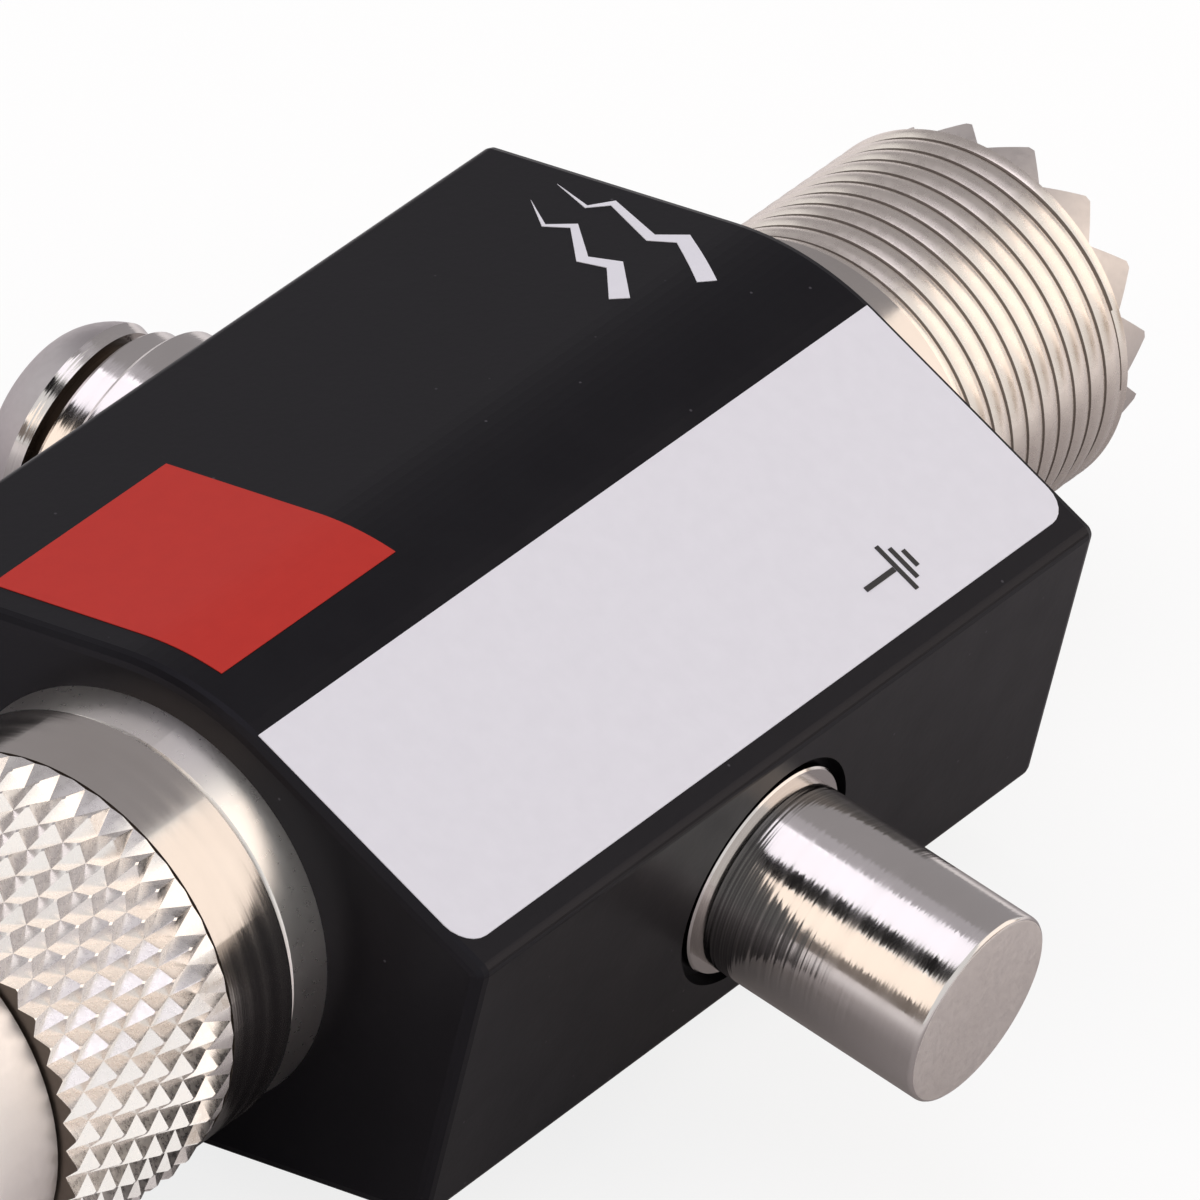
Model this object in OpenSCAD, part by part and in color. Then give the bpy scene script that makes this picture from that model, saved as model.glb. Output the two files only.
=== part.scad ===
// Coaxial lightning arrestor. A black ridged housing carries a screw-on plug at one end and a
// threaded socket at the other. A gas tube behind a turned cap bridges the line to the housing,
// and an earth screw on the opposite side takes the earth wire.
// The coax axis is X, the roof is +Z, and X = 0 is the housing face that carries the socket.

/* [Housing] */
// Length of the housing along the coax axis
housing_l = 40; // [36:0.5:50]
// Width over the two flat sides
housing_w = 30.3; // [29:0.1:36]
// Height of the flat sides
side_h = 12.7; // [12:0.1:15]
// Height over both ridges before they are rounded
peak_h = 22; // [21:0.1:26]
// Radius of the two ridges
ridge_r = 12; // [6:0.5:16]
// Rounding of the housing's other edges
edge_r = 0.5; // [0.2:0.1:0.8]

/* [Coax line] */
// Bore of the housing around the line rod
line_bore_d = 9.2; // [8.6:0.1:10]
// Diameter of the line rod and of the plug pin
rod_d = 4; // [3.9:0.05:4.1]
// Diameter of the studs that join the rod to its two ends
stud_d = 2.4; // [2:0.1:2.8]
// Length of those studs
stud_l = 3; // [2:0.25:4]
// Depth of the flat on the rod that the gas tube stands on
flat_depth = 0.3; // [0.2:0.05:0.5]
// Diameter of the spigots that are pressed into the housing's ends
spigot_d = 14; // [13:0.1:14.6]
// Depth of those spigots
spigot_l = 8; // [6:0.5:9]

/* [Socket] */
// Outside diameter of the coupling thread, 5/8 inch
thread_d = 15.875; // [15.8:0.005:15.9]
// Length of the threaded barrel
barrel_l = 14; // [12:0.1:15]
// Diameter of the toothed crown
crown_d = 14.7; // [14.2:0.1:15]
// Length of the crown beyond the barrel
crown_l = 1.8; // [1.7:0.1:3]
// Number of teeth around the crown
tooth_count = 15; // [12:1:18]
// Depth of the notches between the teeth
tooth_depth = 1.5; // [1:0.1:1.7]
// Bore that takes the nose of a plug
mouth_d = 12.4; // [12.2:0.1:12.8]
// Depth of that bore
mouth_depth = 9.8; // [9:0.1:11]
// Diameter of the insulator behind it
socket_insulator_d = 11.8; // [11.4:0.1:12]
// Outside diameter of the centre contact
contact_d = 5.8; // [5.4:0.1:6.4]
// Depth of the contact's bore
contact_depth = 8; // [7:0.25:8.5]
// Width of the four slots in the contact
slot_w = 0.5; // [0.3:0.1:0.7]

/* [Plug] */
// Diameter of the fixed flange against the housing
flange_d = 17.7; // [17:0.1:18.5]
// Diameter of the flange towards the nut
flange_front_d = 17.2; // [16.5:0.1:17.6]
// Thickness of the flange
flange_t = 1.95; // [1.5:0.05:2.5]
// Gap between the flange and the coupling nut
nut_gap = 0.25; // [0.15:0.05:0.4]
// Length of the coupling nut
nut_l = 17.5; // [16.5:0.1:18.5]
// Diameter of the nut's smooth rear band
band_d = 17.9; // [17.5:0.1:18.2]
// Length of the rear band
band_l = 3.8; // [3:0.1:5]
// Diameter over the nut's knurled grip
grip_d = 18.6; // [18.3:0.1:19]
// Length of the knurled grip
grip_l = 10; // [8:0.1:11]
// Grooves each way across the grip, half as many as the real knurl has
knurl_count = 23; // [16:1:26]
// Depth of those grooves at the middle of the grip
knurl_depth = 0.55; // [0.3:0.05:0.6]
// Diameter of the nut's front rim
rim_d = 17; // [16.8:0.1:17.4]
// Diameter of the journal that the nut turns on
journal_d = 14.4; // [14.2:0.1:14.6]
// Where the journal ends, from the housing's face
shoulder_k = 7; // [6.5:0.1:8]
// Outside diameter of the plug's nose
nose_d = 12; // [11.8:0.1:12.1]
// Inside diameter of the plug's nose
nose_bore_d = 10.6; // [10.2:0.1:10.8]
// Where the nose ends, from the housing's face
nose_k = 15.5; // [14.5:0.1:16.5]
// Where the pin ends, from the housing's face
pin_k = 21.5; // [20:0.1:22.5]
// Diameter of the pin inside its insulator
pin_root_d = 3.6; // [3.4:0.05:3.8]
// Thickness of the wire ring that holds the nut on
ring_t = 0.8; // [0.6:0.05:0.9]

/* [Gas tube and cap] */
// Diameter of the turned cap
cap_d = 8.3; // [8:0.1:9]
// How far the cap stands out of the housing
cap_l = 10.45; // [8:0.05:14]
// Diameter of the flange at the cap's foot
cap_flange_d = 9.3; // [9.2:0.05:9.6]
// Thickness of that flange
cap_flange_t = 0.8; // [0.6:0.1:1.2]
// Diameter of the recess that the flange sits in
cap_seat_d = 10.2; // [9.9:0.1:11]
// Diameter of the cap's thread
cap_thread_d = 8; // [7.8:0.1:8]
// Bore of the cap
cap_bore_d = 5.9; // [5.8:0.1:6.2]
// Diameter of the gas tube over its end caps
tube_d = 5.5; // [5.3:0.1:5.5]
// Length of the gas tube
tube_l = 6; // [5.5:0.1:6.5]
// Thickness of the tube's end caps
electrode_t = 0.8; // [0.6:0.1:1]
// Wire diameter of the contact spring
wire_d = 0.6; // [0.5:0.05:0.7]
// Turns of the contact spring
spring_turns = 6; // [5:1:7]

/* [Earth screw] */
// Thread diameter of the screw
screw_d = 5; // [4.8:0.1:5]
// Diameter of the screw's head
head_d = 9.2; // [9:0.1:11]
// Height of the screw's head
head_h = 2.6; // [2.4:0.1:3.2]
// Diameter of the flat washer on the housing
flat_washer_d = 11.6; // [11:0.1:12.5]
// Thickness of the flat washer
flat_washer_t = 1.35; // [0.8:0.05:1.6]
// Diameter of the thick washer that clamps the wire
clamp_washer_d = 10; // [9.6:0.1:11]
// Thickness of the clamping washer
clamp_washer_t = 1.35; // [1:0.05:1.6]
// Diameter of the split spring washer
spring_washer_d = 7.8; // [7.4:0.1:9]
// Thickness of the split spring washer
spring_washer_t = 0.7; // [0.6:0.05:1]

/* [Hidden] */

// Radial running gap of a thread or journal, and the overrun of a cut past its face
run_gap = 0.05;
over = 1;
fine = 96;

// Places along the coax axis
cap_x = -housing_l / 2;
rod_end = 6;
socket_l = barrel_l + crown_l;
insulator_face = socket_l - mouth_depth;
nut_k0 = flange_t + nut_gap;
nut_k1 = nut_k0 + nut_l;
grip_k0 = nut_k0 + band_l;
grip_k1 = grip_k0 + grip_l;
groove_k0 = 3.6;
groove_depth = 0.5;
ring_play = 0.1;
groove_k1 = groove_k0 + ring_t + 2 * ring_play;
insulator_k0 = 2;
insulator_set_back = 1;
insulator_k1 = nose_k - insulator_set_back;

// Places across the housing, measured from the coax axis
face_at = housing_w / 2;
tube_from = rod_d / 2 - flat_depth;
tube_to = tube_from + tube_l;
cap_from = 6;
cap_bore_below = 0.65;
cap_bore_to = face_at - cap_bore_below;
screw_from = 7.5;
screw_room = 0.5;
clamp_from = face_at + flat_washer_t;
spring_from = clamp_from + clamp_washer_t;
head_from = spring_from + spring_washer_t;

nickel = "#c9c2b8";
brass = "#c8a850";
ptfe = "#f0eee6";

// Frames in which Z runs outwards from the plug's face, from the socket's face,
// and from the coax axis towards the cap or towards the earth screw
module from_plug_face() translate([-housing_l, 0, 0]) rotate([0, -90, 0]) children();
module from_socket_face() rotate([0, 90, 0]) children();
module towards_cap() translate([cap_x, 0, 0]) rotate([90, 0, 0]) children();
module towards_screw() translate([cap_x, 0, 0]) rotate([-90, 0, 0]) children();

// A turned piece from its half section, as points of radius and height
module turned(section) rotate_extrude($fn = fine) polygon(section);

// A hole or rod from one height to another
module rod(d, from, to) translate([0, 0, from]) cylinder(d = d, h = to - from, $fn = fine);

// A flat ring
module ring(d, hole, from, to) turned([[hole / 2, from], [d / 2, from], [d / 2, to], [hole / 2, to]]);

// A ring whose outer edges are broken by a small chamfer
module washer(d, hole, from, to, edge) turned([
    [hole / 2, from], [d / 2 - edge, from], [d / 2, from + edge],
    [d / 2, to - edge], [d / 2 - edge, to], [hole / 2, to]]);

// Points of an arc
function arc(centre, r, from, to, steps) =
    [for (i = [0:steps]) let (a = from + (to - from) * i / steps) centre + r * [cos(a), sin(a)]];

// Section of the housing across the coax axis: two flat sides and two rounded ridges
slope = atan((peak_h - side_h) / housing_w);
ridge_centre = peak_h / 2 - ridge_r / cos(slope);
module housing_section() {
    polygon(concat(
        arc([0, ridge_centre], ridge_r, 90 - slope, 90 + slope, 14),
        [[-housing_w / 2, side_h / 2], [-housing_w / 2, -side_h / 2]],
        arc([0, -ridge_centre], ridge_r, 270 - slope, 270 + slope, 14),
        [[housing_w / 2, -side_h / 2], [housing_w / 2, side_h / 2]]));
}

// The outside of the housing, with all its edges rounded
module housing_block() {
    translate([cap_x, 0, 0]) rotate([90, 0, 90]) hull() for (a = [0:30:90])
        linear_extrude(housing_l - 2 * edge_r * (1 - cos(a)), center = true)
            offset(r = edge_r * sin(a), $fn = 32) offset(delta = -edge_r) housing_section();
}

module housing() color("#2a282d") difference() {
    housing_block();
    from_socket_face() rod(line_bore_d, -housing_l - over, over);
    from_socket_face() rod(spigot_d, -spigot_l, over);
    from_plug_face() rod(spigot_d, -spigot_l, over);
    towards_cap() rod(cap_thread_d + 2 * run_gap, 0, face_at + over);
    towards_cap() rod(cap_seat_d, face_at - cap_flange_t, face_at + over);
    towards_screw() rod(screw_d + 2 * run_gap, screw_from - screw_room, face_at + over);
}

// Plug side
flange_edge = 0.2;
tip_w = 1.6;
tip_h = 1.2;
tip_root = 0.2;
module plug_body() color(nickel) from_plug_face() {
    turned([
        [line_bore_d / 2, -spigot_l], [spigot_d / 2, -spigot_l], [spigot_d / 2, 0],
        [flange_d / 2, 0], [flange_front_d / 2, flange_t - flange_edge],
        [flange_front_d / 2 - flange_edge, flange_t], [journal_d / 2, flange_t],
        [journal_d / 2, groove_k0], [journal_d / 2 - groove_depth, groove_k0],
        [journal_d / 2 - groove_depth, groove_k1], [journal_d / 2, groove_k1],
        [journal_d / 2, shoulder_k], [nose_d / 2, shoulder_k], [nose_d / 2, nose_k],
        [nose_bore_d / 2, nose_k], [nose_bore_d / 2, insulator_k0], [line_bore_d / 2, insulator_k0]]);
    // Two tips that drop between the teeth of a socket
    intersection() {
        ring(journal_d, nose_d - tip_root, shoulder_k - tip_root, shoulder_k + tip_h);
        translate([-journal_d, -tip_w / 2, 0]) cube([2 * journal_d, tip_w, nose_k]);
    }
}

// Open wire ring, half in the journal's groove and half in the nut's
ring_gap_w = 5;
ring_outside = 0.4;
ring_inside = 0.45;
module retaining_ring() color("#b9b6b0") from_plug_face() difference() {
    ring(journal_d + 2 * ring_outside, journal_d - 2 * ring_inside,
        groove_k0 + ring_play, groove_k0 + ring_play + ring_t);
    translate([0, -ring_gap_w / 2, 0]) cube([journal_d, ring_gap_w, shoulder_k]);
}

// Turns on the journal. Its grip has the main grooves of the knurl, its thread is drawn at the root.
nut_bore_d = journal_d + 2 * run_gap;
nut_thread_d = thread_d + 2 * run_gap;
shoulder_gap = 0.3;
nut_thread_k0 = shoulder_k + shoulder_gap;
nut_edge = 0.25;
module nut_blank() turned([
    [nut_bore_d / 2, nut_k0], [band_d / 2 - nut_edge, nut_k0], [band_d / 2, nut_k0 + nut_edge],
    [band_d / 2, grip_k0], [grip_d / 2, grip_k0 + nut_edge], [grip_d / 2, grip_k1],
    [rim_d / 2, grip_k1], [rim_d / 2, nut_k1 - nut_edge], [rim_d / 2 - nut_edge / 2, nut_k1],
    [nut_thread_d / 2 + nut_edge / 2, nut_k1], [nut_thread_d / 2, nut_k1 - nut_edge],
    [nut_thread_d / 2, nut_thread_k0], [nut_bore_d / 2, nut_thread_k0],
    [nut_bore_d / 2, groove_k1], [nut_bore_d / 2 + groove_depth, groove_k1],
    [nut_bore_d / 2 + groove_depth, groove_k0], [nut_bore_d / 2, groove_k0]]);

// One straight V groove of the knurl, which touches the grip at its middle and leans to one side
knurl_lean = 24;
knurl_half_w = 0.9;
knurl_clear = 0.05;
knurl_step = 0.06;
module knurl_groove(lean, depth) {
    top = depth + knurl_clear;
    top_half_w = knurl_half_w * top / depth;
    translate([grip_d / 2 - depth, 0, (grip_k0 + grip_k1) / 2]) rotate([lean, 0, 0])
        linear_extrude(grip_l / cos(lean) + over, center = true)
            polygon([[0, 0], [top, top_half_w], [top, -top_half_w]]);
}

// The second set of grooves is a step shallower than the first
module coupling_nut() color(nickel) from_plug_face() difference() {
    rotate([0, 0, 90 / knurl_count]) nut_blank();
    for (i = [0:knurl_count - 1]) rotate([0, 0, i * 360 / knurl_count]) {
        knurl_groove(knurl_lean, knurl_depth);
        knurl_groove(-knurl_lean, knurl_depth - knurl_step);
    }
}

module plug_insulator() color(ptfe) from_plug_face()
    ring(nose_bore_d, pin_root_d, insulator_k0, insulator_k1);

pin_nose = 1.5;
module plug_pin() color(nickel) from_plug_face() difference() {
    turned(concat([[0, -rod_end], [pin_root_d / 2, -rod_end], [pin_root_d / 2, insulator_k1],
            [rod_d / 2, insulator_k1]],
        [for (a = [0:15:75]) [rod_d / 2 * cos(a), pin_k - pin_nose + pin_nose * sin(a)]],
        [[0, pin_k]]));
    rod(stud_d, -rod_end - over, stud_l - rod_end);
}

// The line between plug and socket, with a flat for the gas tube
module line_rod() color(brass) difference() {
    from_socket_face() {
        rod(rod_d, rod_end - housing_l, -rod_end);
        rod(stud_d, rod_end - stud_l - housing_l, stud_l - rod_end);
    }
    translate([cap_x - tube_d / 2, -rod_d, -rod_d / 2]) cube([tube_d, rod_d - tube_from, rod_d]);
}

// Socket side
crown_edge = 0.2;
module socket_barrel() color(nickel) from_socket_face() difference() {
    rotate([0, 0, 180 / tooth_count]) turned([
        [line_bore_d / 2, -spigot_l], [spigot_d / 2, -spigot_l], [spigot_d / 2, 0],
        [thread_d / 2, 0], [thread_d / 2, barrel_l - crown_edge],
        [crown_d / 2, barrel_l], [crown_d / 2, socket_l], [mouth_d / 2, socket_l],
        [mouth_d / 2, insulator_face], [socket_insulator_d / 2, insulator_face],
        [socket_insulator_d / 2, 0], [line_bore_d / 2, 0]]);
    for (i = [0:tooth_count - 1]) rotate([0, 0, i * 360 / tooth_count]) crown_notch();
}

// One V-shaped notch across the crown's wall. Neighbours leave each tooth a flat tip, which
// narrows inwards.
notch_fill = 0.94;
module crown_notch() {
    half_w = notch_fill * PI * mouth_d / tooth_count / 2;
    open_w = half_w * (1 + over / tooth_depth);
    translate([mouth_d / 2 - over, 0, socket_l]) rotate([90, 0, 90])
        linear_extrude(crown_d / 2 - mouth_d / 2 + 2 * over)
            polygon([[-open_w, over], [open_w, over], [0, -tooth_depth]]);
}

module socket_insulator() color(ptfe) from_socket_face()
    ring(socket_insulator_d, contact_d, 0, insulator_face);

// Sprung tube with four slots, which grips the pin of a plug
contact_gap = 0.04;
contact_bore_d = rod_d + contact_gap;
slot_l = 6;
module socket_contact() color(brass) from_socket_face() difference() {
    rod(contact_d, -rod_end, insulator_face);
    rod(contact_bore_d, insulator_face - contact_depth, insulator_face + over);
    rod(stud_d, -rod_end - over, stud_l - rod_end);
    for (a = [45, 135]) rotate([0, 0, a])
        translate([-contact_d, -slot_w / 2, insulator_face - slot_l])
            cube([2 * contact_d, slot_w, slot_l + over]);
}

// Gas tube and cap
cap_edge = 0.2;
cap_to = face_at + cap_l;
module tube_cap() color(nickel) towards_cap() turned(concat(
    [[cap_bore_d / 2, cap_from], [cap_thread_d / 2, cap_from],
     [cap_thread_d / 2, face_at - cap_flange_t], [cap_flange_d / 2, face_at - cap_flange_t],
     [cap_flange_d / 2, face_at], [cap_d / 2, face_at]],
    arc([cap_d / 2 - cap_edge, cap_to - cap_edge], cap_edge, 0, 90, 4),
    [[0, cap_to], [0, cap_bore_to], [cap_bore_d / 2, cap_bore_to]]));

// The spring is a wire swept along a coil with one closed turn at each end
spring_d = 5;
wire_sides = 8;
coil_steps = 20;
spring_gap = 0.05;
spring_low = tube_to + wire_d / 2;
spring_high = cap_bore_to - spring_gap - wire_d / 2;
closed_rise = 1.05 * wire_d;
function coil_height(turn) =
    turn < 1 ? spring_low + closed_rise * turn
    : turn > spring_turns - 1 ? spring_high - closed_rise * (spring_turns - turn)
    : spring_low + closed_rise
        + (spring_high - spring_low - 2 * closed_rise) * (turn - 1) / (spring_turns - 2);
module contact_spring() color("#b9b6b0") towards_cap() {
    rings = spring_turns * coil_steps;
    coil_r = spring_d / 2 - wire_d / 2;
    points = [for (i = [0:rings], j = [0:wire_sides - 1]) let (
        a = 360 * i / coil_steps,
        b = 360 * j / wire_sides,
        r = coil_r + wire_d / 2 * cos(b))
        [r * cos(a), r * sin(a), coil_height(i / coil_steps) + wire_d / 2 * sin(b)]];
    walls = [for (i = [0:rings - 1], j = [0:wire_sides - 1]) let (
        k = (j + 1) % wire_sides,
        low = i * wire_sides,
        high = low + wire_sides)
        [low + j, low + k, high + k, high + j]];
    start_face = [for (j = [wire_sides - 1:-1:0]) j];
    end_face = [for (j = [0:wire_sides - 1]) rings * wire_sides + j];
    polyhedron(points, concat(walls, [start_face, end_face]));
}

ceramic_d = 5.2;
ceramic_bore_d = 3.8;
electrode_nose_d = 2.8;
electrode_nose_l = 1.7;
module tube_ceramic() color("#e8e2d6") towards_cap()
    ring(ceramic_d, ceramic_bore_d, tube_from + electrode_t, tube_to - electrode_t);

// A metal end cap of the gas tube with its inner face, which looks along +Z
module electrode() turned([
    [0, 0], [tube_d / 2, 0], [tube_d / 2, electrode_t], [electrode_nose_d / 2, electrode_t],
    [electrode_nose_d / 2, electrode_t + electrode_nose_l], [0, electrode_t + electrode_nose_l]]);
module tube_electrode_inner() color(nickel) towards_cap() translate([0, 0, tube_from]) electrode();
module tube_electrode_outer() color(nickel) towards_cap()
    translate([0, 0, tube_to]) mirror([0, 0, 1]) electrode();

// Earth screw and its washers
head_side = 0.55;
head_taper = 0.15;
rim_angle = 30;
head_flat_d = 5.4;
recess_w = 1;
recess_l = 4.6;
recess_depth = 1.5;
screw_edge = 0.4;
module earth_screw() color(nickel) towards_screw() difference() {
    turned(concat(
        [[0, screw_from], [screw_d / 2 - screw_edge, screw_from], [screw_d / 2, screw_from + screw_edge],
         [screw_d / 2, head_from], [head_d / 2 - head_taper, head_from]],
        [for (a = [rim_angle:10:80]) [
            head_flat_d / 2 + (head_d - head_flat_d) / 2 * cos(a) / cos(rim_angle),
            head_from + head_side
                + (head_h - head_side) * (sin(a) - sin(rim_angle)) / (1 - sin(rim_angle))]],
        [[head_flat_d / 2, head_from + head_h], [0, head_from + head_h]]));
    for (a = [0, 90]) rotate([0, 0, a])
        translate([-recess_l / 2, -recess_w / 2, head_from + head_h - recess_depth])
            cube([recess_l, recess_w, recess_depth + over]);
}

washer_hole_d = screw_d + 2 * run_gap;
washer_edge = 0.15;
split_w = 0.7;
split_angle = 20;
module spring_washer() color("#3a3029") towards_screw() difference() {
    ring(spring_washer_d, washer_hole_d, spring_from, head_from);
    translate([0, 0, spring_from + spring_washer_t / 2]) rotate([split_angle, 0, 0])
        translate([0, -split_w / 2, -screw_d / 2]) cube([spring_washer_d, split_w, screw_d]);
}

module clamp_washer() color(nickel) towards_screw()
    washer(clamp_washer_d, washer_hole_d, clamp_from, spring_from, washer_edge);

module flat_washer() color(nickel) towards_screw()
    washer(flat_washer_d, washer_hole_d, face_at, clamp_from, washer_edge);

housing();
plug_body();
retaining_ring();
coupling_nut();
plug_insulator();
plug_pin();
line_rod();
socket_barrel();
socket_insulator();
socket_contact();
tube_cap();
contact_spring();
tube_ceramic();
tube_electrode_inner();
tube_electrode_outer();
earth_screw();
spring_washer();
clamp_washer();
flat_washer();
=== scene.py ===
# %% [markdown]
# # A coax lightning arrestor
#
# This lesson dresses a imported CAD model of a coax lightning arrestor. The CAD solids give every
# piece its size and place. Blender adds what a lathe, a knurling wheel and a printing screen left
# on the real one: threads, the knurled grip, turning marks, plating and ink.
#
# A model could be scaled by eye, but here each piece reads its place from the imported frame, so
# nothing has to be fitted afterwards.

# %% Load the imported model
import math

import bmesh
import bpy
from mathutils import Matrix, Vector


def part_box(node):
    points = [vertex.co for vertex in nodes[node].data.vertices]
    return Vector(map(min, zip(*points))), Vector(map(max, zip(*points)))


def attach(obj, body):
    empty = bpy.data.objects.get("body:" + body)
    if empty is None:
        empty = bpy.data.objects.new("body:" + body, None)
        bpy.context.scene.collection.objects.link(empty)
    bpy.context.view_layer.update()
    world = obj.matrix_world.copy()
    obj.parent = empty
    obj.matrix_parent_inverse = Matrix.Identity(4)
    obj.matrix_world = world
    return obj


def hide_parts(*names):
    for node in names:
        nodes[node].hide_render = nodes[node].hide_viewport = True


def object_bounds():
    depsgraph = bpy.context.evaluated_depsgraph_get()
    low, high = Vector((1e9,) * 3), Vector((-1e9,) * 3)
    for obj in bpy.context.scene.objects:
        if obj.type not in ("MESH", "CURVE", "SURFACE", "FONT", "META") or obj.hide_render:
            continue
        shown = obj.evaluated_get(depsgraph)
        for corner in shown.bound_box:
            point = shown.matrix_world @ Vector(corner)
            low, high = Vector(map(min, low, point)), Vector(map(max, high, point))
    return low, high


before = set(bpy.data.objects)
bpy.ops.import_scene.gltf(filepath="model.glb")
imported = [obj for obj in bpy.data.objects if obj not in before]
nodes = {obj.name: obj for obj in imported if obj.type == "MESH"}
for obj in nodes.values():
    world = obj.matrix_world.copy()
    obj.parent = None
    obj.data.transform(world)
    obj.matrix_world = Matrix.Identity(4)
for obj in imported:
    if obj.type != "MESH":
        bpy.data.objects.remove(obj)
cad_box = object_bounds()
MM = 0.001
TURN = 2 * math.pi

# %% [markdown]
# ## Camera
#
# The picture looks down on the part with a long lens, from the side of the plug and the cap, and
# the part lies a little rolled. A camera could be aimed with a Track To constraint, but that keeps
# it level. Here three directions are written down, so the roll is kept too.

# %% Place the camera
CAMERA_PLACE = Vector((-0.54446, -0.28712, 0.49211))
CAMERA_RIGHT = Vector((0.59476, -0.78131, 0.18926))
CAMERA_UP = Vector((0.42389, 0.50484, 0.75197))
LENS_MM = 600
SENSOR_MM = 36

camera = bpy.data.objects.new("camera", bpy.data.cameras.new("camera"))
camera.data.lens = LENS_MM
camera.data.sensor_width = SENSOR_MM
camera_back = CAMERA_RIGHT.cross(CAMERA_UP)
camera.matrix_world = Matrix((CAMERA_RIGHT, CAMERA_UP, camera_back)).transposed().to_4x4()
camera.location = CAMERA_PLACE
bpy.context.scene.collection.objects.link(camera)
bpy.context.scene.camera = camera
print("camera distance in mm:", round(CAMERA_PLACE.length / MM))

# %% [markdown]
# ## Helpers for materials
#
# Colours are picked on a screen, so they are written as sRGB hex values, and one function turns
# them into the linear numbers that the shader works with. One more small function adds a node,
# sets it and links it, so a material below reads like a recipe.

# %% Colour and node helpers
def linear(hex_colour):
    """Turns an sRGB hex value into linear red, green, blue and alpha."""
    channels = [int(hex_colour[i:i + 2], 16) / 255 for i in (1, 3, 5)]
    return [c / 12.92 if c <= 0.04045 else ((c + 0.055) / 1.055) ** 2.4 for c in channels] + [1]


def add(tree, kind, inputs=None, **settings):
    """Adds a node, sets its properties, and fills its inputs with values or links."""
    node = tree.nodes.new(kind)
    for name, value in settings.items():
        setattr(node, name, value)
    for socket, value in (inputs or {}).items():
        if isinstance(value, bpy.types.NodeSocket):
            tree.links.new(value, node.inputs[socket])
        else:
            node.inputs[socket].default_value = value
    return node


def start_material(name):
    """A new material with its tree, its shader and the part's own coordinates in metres."""
    material = bpy.data.materials.new(name)
    material.use_nodes = True
    tree = material.node_tree
    shader = tree.nodes["Principled BSDF"]
    place = add(tree, "ShaderNodeTexCoord").outputs["Object"]
    return material, tree, shader, place


def feed(tree, shader, **sockets):
    """Sets or links sockets of the shader; an underscore in a name stands for a space."""
    for name, value in sockets.items():
        socket = shader.inputs[name.replace("_", " ")]
        if isinstance(value, bpy.types.NodeSocket):
            tree.links.new(value, socket)
        else:
            socket.default_value = value


def per_mm(size):
    """Scale of a pattern whose detail is this many millimetres across."""
    return 1 / (size * MM)


print("nickel in linear light:", [round(c, 2) for c in linear("#d2c9bf")[:3]])

# %% [markdown]
# ## Nickel plate over turned brass
#
# Most of the small parts are brass, turned on a lathe and plated with nickel. Nickel is a slightly
# warm, bright metal. The plating is thin, so the lathe's fine rings still show through it, and
# they break up every reflection across the axis. A brushed-metal image could be wrapped round each
# piece. Rings made from the distance along and from the axis follow both the sides and the flat
# ends by themselves.

# %% Turned metal
TURNING_MM = 0.2
SCORE_MM = 0.9
CLOUD_MM = 3.0
# Nearly all of a noise pattern lies between these two values.
NOISE_RANGE = {"From Min": 0.3, "From Max": 0.7}


def turned_metal(name, axis, through, light, dark, smooth, rough, ring_height_mm):
    """Metal with lathe rings about an axis: a mask of the axis and a point that it goes through."""
    material, tree, shader, place = start_material(name)
    centred = add(tree, "ShaderNodeVectorMath", {0: place, 1: through}, operation="SUBTRACT")
    along = add(tree, "ShaderNodeVectorMath", {0: centred.outputs[0], 1: axis}, operation="DOT_PRODUCT")
    across = [1 - a for a in axis]
    flat = add(tree, "ShaderNodeVectorMath", {0: centred.outputs[0], 1: across}, operation="MULTIPLY")
    radius = add(tree, "ShaderNodeVectorMath", {0: flat.outputs[0]}, operation="LENGTH")
    ring = add(tree, "ShaderNodeMath",
               {0: along.outputs["Value"], 1: radius.outputs["Value"]}, operation="ADD")
    fine = add(tree, "ShaderNodeTexNoise",
               {"W": ring.outputs[0], "Scale": per_mm(TURNING_MM), "Detail": 1.0}, noise_dimensions="1D")
    scores = add(tree, "ShaderNodeTexNoise",
                 {"W": ring.outputs[0], "Scale": per_mm(SCORE_MM), "Detail": 4.0}, noise_dimensions="1D")
    cloud = add(tree, "ShaderNodeTexNoise", {"Vector": place, "Scale": per_mm(CLOUD_MM), "Detail": 4.0})
    tint = add(tree, "ShaderNodeMix",
               {"Factor": cloud.outputs["Fac"], "A": linear(light), "B": linear(dark)}, data_type="RGBA")
    gloss = add(tree, "ShaderNodeMapRange",
                {"Value": scores.outputs["Fac"], "To Min": smooth, "To Max": rough, **NOISE_RANGE})
    height = add(tree, "ShaderNodeMath",
                 {0: fine.outputs["Fac"], 1: scores.outputs["Fac"]}, operation="ADD")
    bump = add(tree, "ShaderNodeBump",
               {"Height": height.outputs[0], "Distance": ring_height_mm * MM, "Strength": 1.0})
    feed(tree, shader, Base_Color=tint.outputs["Result"], Metallic=1.0,
         Roughness=gloss.outputs["Result"], Normal=bump.outputs["Normal"])
    return material


print("rings every", TURNING_MM, "mm")

# %% [markdown]
# The coax line runs along X and the cap and the screw along Y, so nickel is made twice, with its
# rings about each axis. The line rod and the contact inside are bare turned brass.

# %% Nickel and brass
X_AXIS = (1, 0, 0)
Y_AXIS = (0, 1, 0)
housing_low, housing_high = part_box("housing")
cross_x = (housing_low.x + housing_high.x) / 2
CROSS_POINT = (cross_x, 0, 0)

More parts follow.
